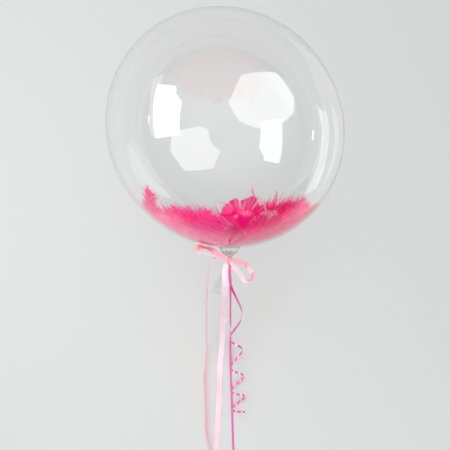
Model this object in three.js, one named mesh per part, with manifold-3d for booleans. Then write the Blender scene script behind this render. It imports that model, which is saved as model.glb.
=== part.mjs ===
// A clear bubble balloon lying on its side, tied off with a satin bow and a curling ribbon.
// Millimetres, +Z up. The balloon rests at the origin on a small flat spot, its neck towards -Y.
import * as THREE from 'three';
import { mergeVertices } from 'three/addons/utils/BufferGeometryUtils.js';
import Module from 'manifold-3d';

const wasm = await Module();
wasm.setup();

// Ball of film
const ballRadius = 280;
const flatDepth = 3; // how far the rest spot is pressed in
const ballCentre = ballRadius - flatDepth;
const longStretch = 1.025; // the film fills out of round, along one slanting line
const shortStretch = 0.972;
const stretchAngle = THREE.MathUtils.degToRad(-50);
const ballSides = 64;
const ballRings = 32;

// Gathered neck and the flat film tail below the tie
const neckAngle = THREE.MathUtils.degToRad(2.1);
const neckRadius = 4.2;
const neckEnd = 326;
const neckSides = 24;
const filmTailThick = 1.2;
const filmTailSkew = 0.09; // slant of the cut end

// Ribbons
const satinWidth = 14;
const satinThick = 0.8;
const curlingWidth = 5;
const curlingThick = 0.8;
const fit = 0.4; // clearance round the tied neck

// Knots, by their distance along the neck
const bowKnotPlace = 309;
const bowKnotRadius = 8.5;
const bowKnotLength = 12;
const stringKnotStart = 316;
const stringKnotEnd = 321;
const stringKnotRadius = 6.2;

// Long end wound up for storage, on the floor
const coilCentre = new THREE.Vector3(53, -840, 0);
const coilInner = 21.5;
const coilOuter = 33;
const coilHeight = 5.6;

// Scraped curl of the short end
const curlTubeRadius = 17; // outside of its turns
const curlStart = -457;
const curlFirstStep = 46; // advance of the first half turn
const curlShrink = 0.88; // each half turn advances this much less
const curlHalfTurns = 7.8;
const curlDrop = 126; // height still to fall where the curl starts
const curlSettle = 0.45; // part of that height left after each half turn

const filmMaterial = new THREE.MeshStandardMaterial({
  color: 0xe6ecee, roughness: 0.05, metalness: 0, transparent: true, opacity: 0.35,
});
const satinMaterial = new THREE.MeshStandardMaterial({ color: 0xffd3df, roughness: 0.4, metalness: 0 });
const curlingMaterial = new THREE.MeshStandardMaterial({ color: 0xdf3f9c, roughness: 0.25, metalness: 0 });

const part = new THREE.Group();

function addMesh(name, geometry, material) {
  const mesh = new THREE.Mesh(geometry, material);
  mesh.name = name;
  part.add(mesh);
  return mesh;
}

function toSolid(geometry) {
  const bare = geometry.clone();
  bare.deleteAttribute('normal');
  bare.deleteAttribute('uv');
  const merged = mergeVertices(bare, 1e-3);
  return new wasm.Manifold(new wasm.Mesh({
    numProp: 3,
    vertProperties: new Float32Array(merged.attributes.position.array),
    triVerts: new Uint32Array(merged.index.array),
  }));
}

function toGeometry(solid) {
  const mesh = solid.getMesh();
  const geometry = new THREE.BufferGeometry();
  geometry.setAttribute('position', new THREE.BufferAttribute(mesh.vertProperties, 3));
  geometry.setIndex(new THREE.BufferAttribute(mesh.triVerts, 1));
  geometry.computeVertexNormals();
  return geometry;
}

// A body of revolution about the neck's line, from [radius, distance from the ball's centre] pairs.
function aboutNeck(profile, sides) {
  const points = profile.map(([radius, distance]) => new THREE.Vector2(radius, -distance));
  const geometry = new THREE.LatheGeometry(points.reverse(), sides);
  geometry.rotateZ(neckAngle);
  geometry.translate(0, 0, ballCentre);
  return geometry;
}

// A point beside the neck: distance along it, then offsets to its right and upwards.
function nearNeck(distance, right = 0, up = 0) {
  const point = new THREE.Vector3(right, -distance, up);
  point.applyAxisAngle(new THREE.Vector3(0, 0, 1), neckAngle);
  point.z += ballCentre;
  return point;
}

// Where a ribbon's width points: level when lean is 0, on edge when it is 90 degrees.
function ribbonFrame(tangent, lean) {
  const level = new THREE.Vector3(-tangent.y, tangent.x, 0).normalize();
  const upright = new THREE.Vector3().crossVectors(tangent, level);
  const across = level.clone().multiplyScalar(Math.cos(lean)).addScaledVector(upright, Math.sin(lean));
  const outward = new THREE.Vector3().crossVectors(tangent, across);
  return { across, outward };
}

// A flat band along a route of [x, y, z, lean in degrees, share of the full width] points.
function ribbonBand(route, width, thickness, steps, skew = 0) {
  const curve = new THREE.CatmullRomCurve3(
    route.map(([x, y, z]) => new THREE.Vector3(x, y, z)), false, 'catmullrom', 0.5);
  const alongRoute = (column, rest) => (share) => {
    const place = share * (route.length - 1);
    const first = Math.min(Math.floor(place), route.length - 2);
    const blend = THREE.MathUtils.smoothstep(place - first, 0, 1);
    return THREE.MathUtils.lerp(route[first][column] ?? rest, route[first + 1][column] ?? rest, blend);
  };
  const leanAt = alongRoute(3, 0);
  const widthAt = alongRoute(4, 1);
  const geometry = new THREE.BoxGeometry(width, thickness, 1, 1, 1, steps);
  const place = geometry.attributes.position;
  for (let i = 0; i < place.count; i += 1) {
    const side = place.getX(i) / width;
    const share = THREE.MathUtils.clamp((place.getZ(i) + 0.5) * (1 + skew * side), 0, 1);
    const tangent = curve.getTangent(share);
    const { across, outward } = ribbonFrame(tangent, THREE.MathUtils.degToRad(leanAt(share)));
    const point = curve.getPoint(share)
      .addScaledVector(across, place.getX(i) * widthAt(share))
      .addScaledVector(outward, place.getY(i));
    place.setXYZ(i, point.x, point.y, point.z);
  }
  return geometry;
}

// Film: the out-of-round ball, the cup-shaped gather, the tied neck and the flat tail beyond it.
function makeFilmBalloon() {
  const ball = new THREE.SphereGeometry(ballRadius, ballSides, ballRings);
  ball.rotateZ(-stretchAngle);
  ball.scale(longStretch, shortStretch, 1);
  ball.rotateZ(stretchAngle);
  ball.translate(0, 0, ballCentre);

  const gather = aboutNeck([
    [0, 262], [24, 262], [21.5, 279], [18.5, 284], [16.5, 289], [13, 294], [8, 298], [5, 300.5],
    [neckRadius, 303], [neckRadius, neckEnd], [0, neckEnd],
  ], neckSides);

  const tailRoot = nearNeck(neckEnd - 6);
  const filmTail = ribbonBand([
    [tailRoot.x, tailRoot.y, tailRoot.z, 0, 0.26],
    [6, -333, 274, 0, 0.42],
    [0, -347, 264, 0, 0.72],
    [-7, -361, 250, 0, 0.92],
    [-14, -375, 232, 0, 1],
    [-21, -389, 212, 0, 1],
  ], 26, filmTailThick, 14, filmTailSkew);

  const floorBlock = new THREE.BoxGeometry(ballRadius, ballRadius, 20);
  floorBlock.translate(0, 0, -10);

  const film = toSolid(ball).add(toSolid(gather)).add(toSolid(filmTail)).subtract(toSolid(floorBlock));
  addMesh('film_balloon', toGeometry(film), filmMaterial);
}

// Satin: a knot round the neck with a creased loop to the left and an open one to the right.
function makeSatinBow() {
  const knot = new THREE.SphereGeometry(bowKnotRadius, 16, 10);
  knot.scale(1, bowKnotLength / 2 / bowKnotRadius, 1);
  knot.rotateZ(neckAngle);
  const centre = nearNeck(bowKnotPlace, 0, 1);
  knot.translate(centre.x, centre.y, centre.z);

  const leftLoop = ribbonBand([
    [6, -307, 284, 0, 0.5],
    [-2, -302, 286, 0, 0.7],
    [-13, -297, 291, 10, 0.9],
    [-25, -291, 295, 20, 1],
    [-36, -288, 298, 50, 1],
    [-46, -285, 301, 62, 1],
    [-57, -282, 303, 48, 0.95],
    [-65, -286, 298, 35, 0.85],
    [-62, -293, 289, 50, 0.9],
    [-50, -295, 283, 62, 0.9],
    [-37, -297, 279, 65, 0.9],
    [-24, -300, 277, 65, 0.9],
    [-11, -304, 277, 65, 0.8],
    [4.4, -307.5, 278, 65, 0.5],
  ], satinWidth, satinThick, 44);

  const rightLoop = ribbonBand([
    [12, -308, 285, 0, 0.5],
    [20, -311, 287, 20, 0.7],
    [32, -312, 293, 35, 0.9],
    [47, -318, 298, 35, 0.95],
    [56, -328, 300, 30, 0.95],
    [62, -338, 297, 35, 0.9],
    [63, -347, 291, 45, 0.9],
    [58, -355, 284, 90, 0.9],
    [47, -355, 279, 150, 0.95],
    [37, -343, 279, 180, 1],
    [26, -331, 281, 180, 0.95],
    [16, -317.5, 284, 180, 0.65],
    [13, -311, 284.5, 180, 0.5],
  ], satinWidth, satinThick, 44);

  const hole = aboutNeck([
    [0, 290], [neckRadius + fit, 290], [neckRadius + fit, neckEnd], [0, neckEnd],
  ], neckSides);

  const bow = toSolid(knot).add(toSolid(leftLoop)).add(toSolid(rightLoop)).subtract(toSolid(hole));
  addMesh('satin_bow', toGeometry(bow), satinMaterial);
}

// The two free ends of the satin, from the knot down to the floor and along it.
function makeSatinTails() {
  addMesh('satin_tail_centre', ribbonBand([
    [3, -317, 285, 0, 0.75],
    [2, -323, 286, 0, 0.9],
    [1, -333, 286],
    [0, -348, 283],
    [0, -363, 274],
    [-1, -378, 257],
    [-1, -393, 232],
    [-2, -410, 199],
    [-2, -430, 155],
    [-3, -450, 112],
    [-5, -475, 73],
    [-6, -500, 43],
    [-8, -530, 19],
    [-11, -560, 6],
    [-13, -590, 1],
    [-14, -630, 4],
    [-15, -665, 1],
    [-17, -700, 4],
    [-19, -735, 1],
    [-21, -770, 2],
    [-23, -812, 1],
  ], satinWidth, satinThick, 44), satinMaterial);

  addMesh('satin_tail_left', ribbonBand([
    [1, -309, 270, 40, 0.6],
    [-9, -305, 268, 50, 0.8],
    [-20, -303, 266, 60],
    [-29, -309, 264, 66],
    [-34, -323, 260, 70],
    [-38, -340, 252, 70],
    [-40, -357, 241, 70],
    [-42, -374, 226, 70],
    [-43, -392, 206, 70],
    [-45, -412, 180, 70],
    [-45, -433, 150, 70],
    [-45, -459, 114, 70],
    [-46, -484, 80, 70],
    [-46, -513, 46, 70],
    [-45, -540, 23, 70],
    [-47, -562, 11, 70],
    [-49, -592, 7.2, 72],
    [-51, -617, 7.2, 72],
    [-50, -642, 7.2, 72],
    [-49, -667, 7.2, 70],
    [-48, -693, 7.2, 68],
    [-48, -718, 7.2, 68],
    [-47, -743, 7.2, 68],
    [-44, -768, 7.2, 66],
    [-38, -793, 7.2, 66],
    [-31, -811, 7.2, 66],
  ], satinWidth, satinThick, 48), satinMaterial);
}

// Curling ribbon: wraps round the neck, the long end, its storage coil, and the curled short end.
function makeCurlingRibbon() {
  const wraps = aboutNeck([
    [neckRadius + fit, stringKnotStart],
    [stringKnotRadius, stringKnotStart],
    [stringKnotRadius, stringKnotEnd],
    [neckRadius + fit, stringKnotEnd],
    [neckRadius + fit, stringKnotStart],
  ], neckSides);
  addMesh('string_knot', wraps, curlingMaterial);

  addMesh('string', ribbonBand([
    [11.2, -321.5, 282.5],
    [11.5, -332, 283],
    [12, -345, 282],
    [13, -360, 275],
    [13, -375, 260],
    [13, -390, 238],
    [13, -405, 211],
    [13, -420, 181],
    [13, -440, 142],
    [13.5, -460, 108, 10],
    [13.5, -473, 88, 40],
    [13.5, -485, 72, 90],
    [13.5, -498, 56, 140],
    [13.5, -512, 41, 170],
    [13.5, -540, 19, 180],
    [14, -570, 6, 180],
    [14.5, -600, 1, 180],
    [16.5, -650, 1, 180],
    [18, -700, 1, 180],
    [19.5, -750, 1, 180],
    [21, -790, 1.4, 170],
    [21.5, -806, 2.9, 95],
    [21.5, -818, 3.1, 90],
  ], curlingWidth, curlingThick, 56), curlingMaterial);

  const coil = new THREE.LatheGeometry([
    new THREE.Vector2(coilInner, 0), new THREE.Vector2(coilOuter, 0),
    new THREE.Vector2(coilOuter, coilHeight), new THREE.Vector2(coilInner, coilHeight),
    new THREE.Vector2(coilInner, 0),
  ], 40);
  coil.rotateX(Math.PI / 2);
  coil.translate(coilCentre.x, coilCentre.y, coilCentre.z);
  addMesh('string_coil', coil, curlingMaterial);

  addMesh('curl_lead', ribbonBand([
    [11, -322, 288],
    [10, -333, 290],
    [10, -347, 290],
    [12, -362, 285],
    [17, -378, 272],
    [24, -394, 251],
    [31, -409, 224],
    [37, -423, 196],
    [41, -436, 171],
    [42, -444, 156],
  ], curlingWidth, curlingThick, 24), curlingMaterial);

  const axis = [];
  const axisSteps = 12;
  for (let i = 0; i <= axisSteps; i += 1) {
    const turns = curlHalfTurns * i / axisSteps;
    axis.push(new THREE.Vector3(
      26 + 1.3 * turns,
      curlStart - curlFirstStep * (1 - curlShrink ** turns) / (1 - curlShrink),
      curlTubeRadius + 0.6 + curlDrop * curlSettle ** turns,
    ));
  }
  const round = new THREE.Shape().absarc(0, 0, curlTubeRadius, 0, 2 * Math.PI);
  const curl = new THREE.ExtrudeGeometry(round, {
    steps: 24, curveSegments: 6, bevelEnabled: false, extrudePath: new THREE.CatmullRomCurve3(axis),
  });
  addMesh('curl', curl, curlingMaterial);
}

makeFilmBalloon();
makeSatinBow();
makeSatinTails();
makeCurlingRibbon();

export default part;
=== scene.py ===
# A clear bubble balloon lying on its side: feathers in its neck end, a satin bow and a curling ribbon.
# Metres, +Z up. The balloon rests at the origin, its neck towards -Y.
import math
import random

import bpy
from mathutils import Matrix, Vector, noise


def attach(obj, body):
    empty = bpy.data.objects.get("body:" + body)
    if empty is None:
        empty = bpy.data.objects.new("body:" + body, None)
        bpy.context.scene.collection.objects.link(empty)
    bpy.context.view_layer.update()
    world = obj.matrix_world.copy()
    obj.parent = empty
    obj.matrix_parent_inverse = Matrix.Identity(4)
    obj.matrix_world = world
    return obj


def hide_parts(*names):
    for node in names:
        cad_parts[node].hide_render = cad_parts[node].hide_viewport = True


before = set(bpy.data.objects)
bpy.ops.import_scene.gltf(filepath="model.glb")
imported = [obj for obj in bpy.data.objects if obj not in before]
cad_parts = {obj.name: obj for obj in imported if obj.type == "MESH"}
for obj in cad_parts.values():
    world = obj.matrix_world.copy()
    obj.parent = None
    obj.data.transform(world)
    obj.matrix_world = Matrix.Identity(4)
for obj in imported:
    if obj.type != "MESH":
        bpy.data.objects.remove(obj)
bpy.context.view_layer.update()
scene = bpy.context.scene
mm = 0.001

# The camera looks straight down on the lying balloon.
view = {'place': (0, -0.2275, 3.777), 'lens': 120, 'sensor': 36}

cameraData = bpy.data.cameras.new('camera')
cameraData.lens = view['lens']
cameraData.sensor_width = view['sensor']
camera = bpy.data.objects.new('camera', cameraData)
camera.location = view['place']
scene.collection.objects.link(camera)
scene.camera = camera
scene.view_settings.view_transform = 'Standard'
print('camera placed')


def smooth(share):
    share = min(max(share, 0), 1)
    return share * share * (3 - 2 * share)


# A point and its direction on a smooth line through the given points, at a place counted in points.
def curvePoint(points, place):
    first = min(int(place), len(points) - 2)
    t = place - first
    start, end = points[first], points[first + 1]
    before = points[first - 1] if first > 0 else start * 2 - end
    after = points[first + 2] if first + 2 < len(points) else end * 2 - start
    leave, arrive = (end - before) / 2, (after - start) / 2
    bend = start * -3 + end * 3 - leave * 2 - arrive
    twist = start * 2 - end * 2 + leave + arrive
    point = start + leave * t + bend * t ** 2 + twist * t ** 3
    direction = leave + bend * 2 * t + twist * 3 * t ** 2
    return point, direction.normalized()


# One station of a band: where it is, which way its width points, which way its face looks, its width.
def station(point, tangent, lean, share):
    level = Vector((-tangent.y, tangent.x, 0)).normalized()
    upright = tangent.cross(level)
    across = level * math.cos(lean) + upright * math.sin(lean)
    return point, across, tangent.cross(across), share


# Stations along a route of [x, y, z, lean in degrees, share of the full width] rows, in millimetres.
def followRoute(route, steps):
    points = [Vector(row[:3]) * mm for row in route]
    leans = [math.radians(row[3]) if len(row) > 3 else 0 for row in route]
    shares = [row[4] if len(row) > 4 else 1 for row in route]
    stations = []
    for i in range(steps + 1):
        place = i / steps * (len(route) - 1)
        first = min(int(place), len(route) - 2)
        blend = smooth(place - first)
        lean = leans[first] + (leans[first + 1] - leans[first]) * blend
        share = shares[first] + (shares[first + 1] - shares[first]) * blend
        stations.append(station(*curvePoint(points, place), lean, share))
    return stations


def storeValues(mesh, name, values):
    mesh.attributes.new(name, 'FLOAT', 'POINT').data.foreach_set('value', values)


def newObject(name, vertices, faces, materials=(), faceMaterials=None, uvs=None):
    mesh = bpy.data.meshes.new(name)
    mesh.from_pydata([tuple(v) for v in vertices], [], faces)
    for material in materials:
        mesh.materials.append(material)
    if faceMaterials:
        mesh.polygons.foreach_set('material_index', faceMaterials)
    if uvs:
        layer = mesh.uv_layers.new(name='UVMap')
        layer.data.foreach_set('uv', [value for pair in uvs for value in pair])
    mesh.polygons.foreach_set('use_smooth', [True] * len(mesh.polygons))
    mesh.update()
    piece = bpy.data.objects.new(name, mesh)
    scene.collection.objects.link(piece)
    return piece


# The value at a place among [place, value] pairs.
def between(pairs, place):
    for (a, low), (b, high) in zip(pairs, pairs[1:]):
        if place <= b:
            return low + (high - low) * smooth((place - a) / (b - a))
    return pairs[-1][1]


# A closed thin band through its stations. Its two broad sides may have different materials, and shades gives
# its painted sheen and shade along its length.
def makeBand(name, stations, width, thickness, materials, columns=4, cup=0.0, shades=((0, 0), (1, 0))):
    vertices, faces, faceMaterials, uvs, shadeValues = [], [], [], [], []
    ring = 2 * (columns + 1)
    length, lengths = 0, []
    for i, (point, across, outward, share) in enumerate(stations):
        length += (point - stations[i - 1][0]).length if i else 0
        lengths.append(length)
        shadeValues += [between(shades, i / (len(stations) - 1))] * ring
        for side in (1, -1):
            for c in range(columns + 1):
                u = (c / columns - 0.5) * side
                bow = cup * (1 - 4 * u * u) * width * share
                lift = outward * (side * thickness / 2 + bow)
                vertices.append(point + across * (u * width * share) + lift)
    for i in range(len(stations) - 1):
        for k in range(ring):
            a = i * ring + k
            b = i * ring + (k + 1) % ring
            faces.append((a, a + ring, b + ring, b))
            faceMaterials.append(1 if k > columns else 0)
            ends = [k % (columns + 1), (k + 1) % (columns + 1)]
            if k % (columns + 1) == columns:
                ends = [columns, columns]
            u0, u1 = (end / columns * width for end in ends)
            uvs += [(u0, lengths[i]), (u0, lengths[i + 1]), (u1, lengths[i + 1]), (u1, lengths[i])]
    last = (len(stations) - 1) * ring
    faces.append(tuple(range(ring)))
    faces.append(tuple(last + k for k in reversed(range(ring))))
    faceMaterials += [0, 0]
    uvs += [(0, 0)] * ring + [(0, length)] * ring
    band = newObject(name, vertices, faces, materials, faceMaterials, uvs)
    storeValues(band.data, 'shade', shadeValues)
    sharpenBorders(band.data, ring, columns)
    return band


# The lines where a broad side meets an edge stay crisp.
def sharpenBorders(mesh, ring, columns):
    borders = {0, columns, columns + 1, ring - 1}
    sharp = [a % ring == b % ring and a % ring in borders for a, b in mesh.edge_keys]
    mesh.attributes.new('sharp_edge', 'BOOLEAN', 'EDGE').data.foreach_set('value', sharp)


def newMaterial(name, **values):
    material = bpy.data.materials.new(name)
    material.use_nodes = True
    shader = material.node_tree.nodes['Principled BSDF']
    for socket, value in values.items():
        shader.inputs[socket].default_value = value
    return material


def addNode(tree, kind, inputs=None, **settings):
    node = tree.nodes.new(kind)
    for name, value in settings.items():
        setattr(node, name, value)
    for name, value in (inputs or {}).items():
        if isinstance(value, bpy.types.NodeSocket):
            tree.links.new(value, node.inputs[name])
        else:
            node.inputs[name].default_value = value
    return node


def maths(tree, operation, a, b=0.0, c=0.0, clamp=False):
    inputs = {0: a, 1: b, 2: c}
    return addNode(tree, 'ShaderNodeMath', inputs, operation=operation, use_clamp=clamp).outputs[0]


# Where a value stands between two limits, put between two other values.
def spreadOut(tree, value, low, high, toLow=0.0, toHigh=1.0, curve='LINEAR'):
    return addNode(tree, 'ShaderNodeMapRange', {
        'Value': value, 'From Min': low, 'From Max': high, 'To Min': toLow, 'To Max': toHigh},
        interpolation_type=curve).outputs[0]


def mixColours(tree, share, first, second):
    return addNode(tree, 'ShaderNodeMix', {0: share, 6: first, 7: second}, data_type='RGBA').outputs[2]


def mixShaders(tree, share, first, second):
    return addNode(tree, 'ShaderNodeMixShader', {0: share, 1: first, 2: second}).outputs[0]


def attributeOf(tree, name):
    return addNode(tree, 'ShaderNodeAttribute', attribute_name=name).outputs['Fac']


def placeOn(tree):
    return addNode(tree, 'ShaderNodeTexCoord').outputs['Object']


def coordinateOf(tree, place, axis):
    return addNode(tree, 'ShaderNodeSeparateXYZ', {0: place}).outputs[axis]


def makeSurface(tree, socket):
    tree.links.new(socket, tree.nodes['Material Output'].inputs['Surface'])


# A node group's sockets, from rows of name, kind and value, and of name and kind.
def makeSockets(group, inputs, outputs):
    for label, kind, value in inputs:
        socket = group.interface.new_socket(label, in_out='INPUT', socket_type='NodeSocket' + kind)
        if value is not None:
            socket.default_value = value
    for label, kind in outputs:
        group.interface.new_socket(label, in_out='OUTPUT', socket_type='NodeSocket' + kind)


def wavesOf(tree, value, spacing):
    return maths(tree, 'SINE', maths(tree, 'MULTIPLY', maths(tree, 'DIVIDE', value, spacing), 2 * math.pi))


# Threads of a narrow ribbon: fine ribs along it, and picks across it where it is woven.
def makeRibbonWeave():
    group = bpy.data.node_groups.new('ribbonWeave', 'ShaderNodeTree')
    white = (1, 1, 1, 1)
    makeSockets(group, (
        ('Rib Spacing', 'Float', 0.4 * mm), ('Pick Spacing', 'Float', 0.6 * mm),
        ('Pick Share', 'Float', 0.5), ('Tone', 'Color', white), ('Shade Tone', 'Color', white),
        ('Wave Length', 'Float', 80 * mm), ('Shade', 'Float', 0.0), ('Drift', 'Float', 0.15)),
        (('Colour', 'Color'), ('Height', 'Float')))
    given = group.nodes.new('NodeGroupInput').outputs
    made = group.nodes.new('NodeGroupOutput').inputs
    sides = addNode(group, 'ShaderNodeSeparateXYZ', {0: addNode(group, 'ShaderNodeUVMap').outputs[0]})
    ribs = wavesOf(group, sides.outputs[0], given['Rib Spacing'])
    picks = wavesOf(group, sides.outputs[1], given['Pick Spacing'])
    height = addNode(group, 'ShaderNodeMix', {0: given['Pick Share'], 2: ribs, 3: picks})
    # the colour is painted sheen and shade: the Shade share, with a slow drift along the ribbon, moves it
    # from Tone, the lit colour, towards Shade Tone, a shaded copy
    along = maths(group, 'DIVIDE', sides.outputs[1], given['Wave Length'])
    place = addNode(group, 'ShaderNodeCombineXYZ', {0: along})
    waves = addNode(group, 'ShaderNodeTexNoise', {'Vector': place.outputs[0], 'Scale': 1.0, 'Detail': 1.5})
    drift = spreadOut(group, waves.outputs['Fac'], 0.35, 0.65, -1.0)
    share = maths(group, 'MULTIPLY_ADD', drift, given['Drift'], given['Shade'], clamp=True)
    colour = mixColours(group, share, given['Tone'], given['Shade Tone'])
    group.links.new(height.outputs[0], made['Height'])
    group.links.new(colour, made['Colour'])
    return group


ribbonWeave = makeRibbonWeave()


def ribbonMaterial(name, weave, depth, **values):
    material = newMaterial(name, **values)
    tree = material.node_tree
    inputs = {**weave, 'Shade': attributeOf(tree, 'shade')}
    woven = addNode(tree, 'ShaderNodeGroup', inputs, node_tree=ribbonWeave)
    bump = addNode(tree, 'ShaderNodeBump', {
        'Height': woven.outputs['Height'], 'Strength': 0.35, 'Distance': depth})
    shader = tree.nodes['Principled BSDF']
    tree.links.new(woven.outputs['Colour'], shader.inputs['Base Color'])
    tree.links.new(bump.outputs[0], shader.inputs['Normal'])
    return material


def threads(tone, shadeTone, rib, pick, pickShare):
    return {'Tone': tone, 'Shade Tone': shadeTone,
            'Rib Spacing': rib, 'Pick Spacing': pick, 'Pick Share': pickShare}


satinFace = ribbonMaterial(
    'satin_face', threads((1.0, 0.81, 0.90, 1), (1.0, 0.34, 0.40, 1), 0.22 * mm, 0.5 * mm, 0.2), 0.02 * mm,
    **{'Roughness': 0.36, 'Sheen Weight': 0.3, 'Sheen Roughness': 0.4, 'Specular IOR Level': 1.0})
satinBack = ribbonMaterial(
    'satin_back', threads((1.0, 0.84, 0.91, 1), (0.98, 0.28, 0.36, 1), 0.3 * mm, 0.5 * mm, 0.5), 0.03 * mm,
    **{'Roughness': 0.6, 'Sheen Weight': 0.2, 'Sheen Roughness': 0.5})
curlingFace = ribbonMaterial(
    'curling_face', threads((0.87, 0.055, 0.38, 1), (0.74, 0.035, 0.30, 1), 0.42 * mm, 2 * mm, 0.05),
    0.04 * mm, **{'Roughness': 0.24, 'Coat Weight': 1.0, 'Coat Roughness': 0.12, 'Coat IOR': 1.8,
                  'Specular IOR Level': 0.9})
curlingBack = ribbonMaterial(
    'curling_back', threads((0.92, 0.11, 0.44, 1), (0.82, 0.08, 0.36, 1), 0.42 * mm, 2 * mm, 0.05),
    0.03 * mm, **{'Roughness': 0.34, 'Coat Weight': 1.0, 'Coat Roughness': 0.14, 'Coat IOR': 1.7,
                  'Specular IOR Level': 0.7})
print('ribbon materials made')

satin = {'width': 14 * mm, 'thickness': 0.4 * mm, 'cup': 0.03, 'columns': 6,
         'tailSteps': 132, 'loopSteps': 90}

centreTailRoute = [
    [3, -317, 285, 0, 0.75], [2, -323, 286, 0, 0.9], [1, -333, 286], [0, -348, 283], [0, -363, 274],
    [-1, -378, 257], [-1, -393, 232], [-2, -410, 199], [-2, -430, 155], [-3, -450, 112], [-5, -475, 73],
    [-6, -500, 43], [-8, -530, 19], [-11, -560, 6], [-13, -590, 1], [-14, -630, 4], [-15, -665, 1],
    [-17, -700, 4], [-19, -735, 1], [-21, -770, 2], [-23, -812, 1],
]

leftTailRoute = [
    [1, -309, 270, 40, 0.6], [-9, -305, 268, 50, 0.8], [-20, -303, 266, 60], [-29, -309, 264, 66],
    [-34, -323, 260, 74], [-38, -340, 252, 76], [-40, -357, 241, 76], [-42, -374, 226, 75],
    [-43, -392, 206, 74], [-45, -412, 180, 70], [-45, -433, 150, 70], [-45, -459, 114, 70],
    [-46, -484, 80, 70], [-46, -513, 46, 70], [-45, -540, 23, 70], [-47, -562, 11, 70],
    [-49, -592, 7.2, 72], [-51, -617, 7.2, 72], [-50, -642, 7.2, 72], [-49, -667, 7.2, 70],
    [-48, -693, 7.2, 68], [-48, -718, 7.2, 68], [-47, -743, 7.2, 68], [-44, -768, 7.2, 66],
    [-38, -793, 7.2, 66], [-31, -811, 7.2, 66],
]


def satinBand(name, stations, shades):
    return makeBand(name, stations, satin['width'], satin['thickness'], [satinFace, satinBack],
                    satin['columns'], satin['cup'], shades)


# Attaches a band to the root body.
def declareRibbon(band):
    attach(band, 'root')


# Where along each tail the satin turns from its painted sheen (0) to its painted shade (1).
centreTailSheenAndShade = [(0, 0.1), (0.1, 0.0), (0.3, 0.05), (0.4, 0.28), (0.5, 0.05), (0.6, 0.0), (0.7, 0.1),
                   (0.8, 0.3), (0.9, 0.15), (1, 0.3)]
leftTailSheenAndShade = [(0, 0.0), (0.12, 0.1), (0.2, 0.55), (0.35, 0.75), (0.6, 0.6), (0.8, 0.75), (1, 0.6)]

satinTails = []
for name, route, shades in (('satin_tail_centre', centreTailRoute, centreTailSheenAndShade),
                            ('satin_tail_left', leftTailRoute, leftTailSheenAndShade)):
    stations = followRoute(route, satin['tailSteps'])
    tail = satinBand(name + '_ribbon', stations, shades)
    declareRibbon(tail)
    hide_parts(name)
    satinTails.append(tail)
print('satin tails made')

curling = {'width': 5 * mm, 'thickness': 0.35 * mm, 'cup': 0.02, 'columns': 4,
           'steps': 132, 'stepsBetween': 4}
coil = {'centre': Vector((53, -840, 2.9)) * mm, 'outer': 31.5 * mm, 'inner': 24.6 * mm,
        'turns': 3.2, 'steps': 150}
curl = {
    'halfTurns': 7.8, 'stepsEach': 14, 'start': -457, 'firstStep': 46, 'shrink': 0.88,
    'side': 26, 'sideStep': 1.3, 'rise': 17.6, 'drop': 126, 'settle': 0.45,
    'firstRadius': 14, 'lastRadius': 16.4, 'slant': 5,
}

stringRoute = [
    [11.2, -321.5, 282.5], [11.5, -332, 283], [12, -345, 282], [13, -360, 275], [13, -375, 260],
    [13, -390, 238], [13, -405, 211], [13, -420, 181], [13, -440, 142], [13.5, -460, 108, 10],
    [13.5, -473, 88, 40], [13.5, -485, 72, 90], [13.5, -498, 56, 140], [13.5, -512, 41, 170],
    [13.5, -540, 19, 180], [14, -570, 6, 180], [14.5, -600, 1, 180], [16.5, -650, 1, 180],
    [18, -700, 1, 180], [19.5, -750, 1, 180], [21, -790, 1.4, 170], [21.5, -806, 2.9, 95],
    [21.5, -818, 3.1, 90],
]

curlLeadRoute = [
    [11, -322, 288], [10, -333, 290], [10, -347, 290], [12, -362, 285], [17, -378, 272], [24, -394, 251],
    [31, -409, 224], [37, -423, 196], [41, -436, 171],
]


# The stored end: a flat spiral on edge, its turns side by side.
def coilStations():
    stations = []
    for i in range(coil['steps'] + 1):
        share = i / coil['steps']
        angle = math.pi + share * coil['turns'] * 2 * math.pi
        radius = coil['outer'] + (coil['inner'] - coil['outer']) * share
        outwards = Vector((math.cos(angle), math.sin(angle), 0))
        tangent = Vector((-outwards.y, outwards.x, 0))
        stations.append(station(coil['centre'] + outwards * radius, tangent, math.radians(90), 1))
    return stations


# The curled end: its lead from the tie, then loops that close up along the floor.
def curlStations():
    points = [Vector(row[:3]) * mm for row in curlLeadRoute]
    faces = [Vector((0, 0, 1))] * (len(points) - 2) + [Vector((0.35, 0, 1)), Vector((0.8, 0, 1))]
    count = round(curl['halfTurns'] * curl['stepsEach'] / 2)
    for i in range(count + 1):
        k = curl['halfTurns'] * i / count
        radius = curl['firstRadius'] + (curl['lastRadius'] - curl['firstRadius']) * i / count
        swing, dip = math.cos(math.pi * k), math.sin(math.pi * k)
        advance = curl['firstStep'] * (1 - curl['shrink'] ** k) / (1 - curl['shrink'])
        points.append(Vector((
            curl['side'] + curl['sideStep'] * k + radius * swing,
            curl['start'] - advance + curl['slant'] * swing,
            curl['rise'] + curl['drop'] * curl['settle'] ** k - radius * dip)) * mm)
        faces.append(Vector((swing, 0, -dip)))
    stations = []
    steps = (len(points) - 1) * curling['stepsBetween']
    for i in range(steps + 1):
        place = i / steps * (len(points) - 1)
        point, tangent = curvePoint(points, place)
        first = min(int(place), len(points) - 2)
        face = faces[first].lerp(faces[first + 1], place - first)
        across = face.cross(tangent).normalized()
        stations.append((point, across, tangent.cross(across), 1))
    return stations


def curlingBand(name, stations):
    return makeBand(name, stations, curling['width'], curling['thickness'],
                    [curlingFace, curlingBack], curling['columns'], curling['cup'])


longEnd = followRoute(stringRoute, curling['steps']) + coilStations()
string = curlingBand('string_ribbon', longEnd)
declareRibbon(string)
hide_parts('string', 'string_coil')

shortEnd = curlStations()
curledEnd = curlingBand('curled_ribbon', shortEnd)
declareRibbon(curledEnd)
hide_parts('curl_lead', 'curl')
print('curling ribbon made')

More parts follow.
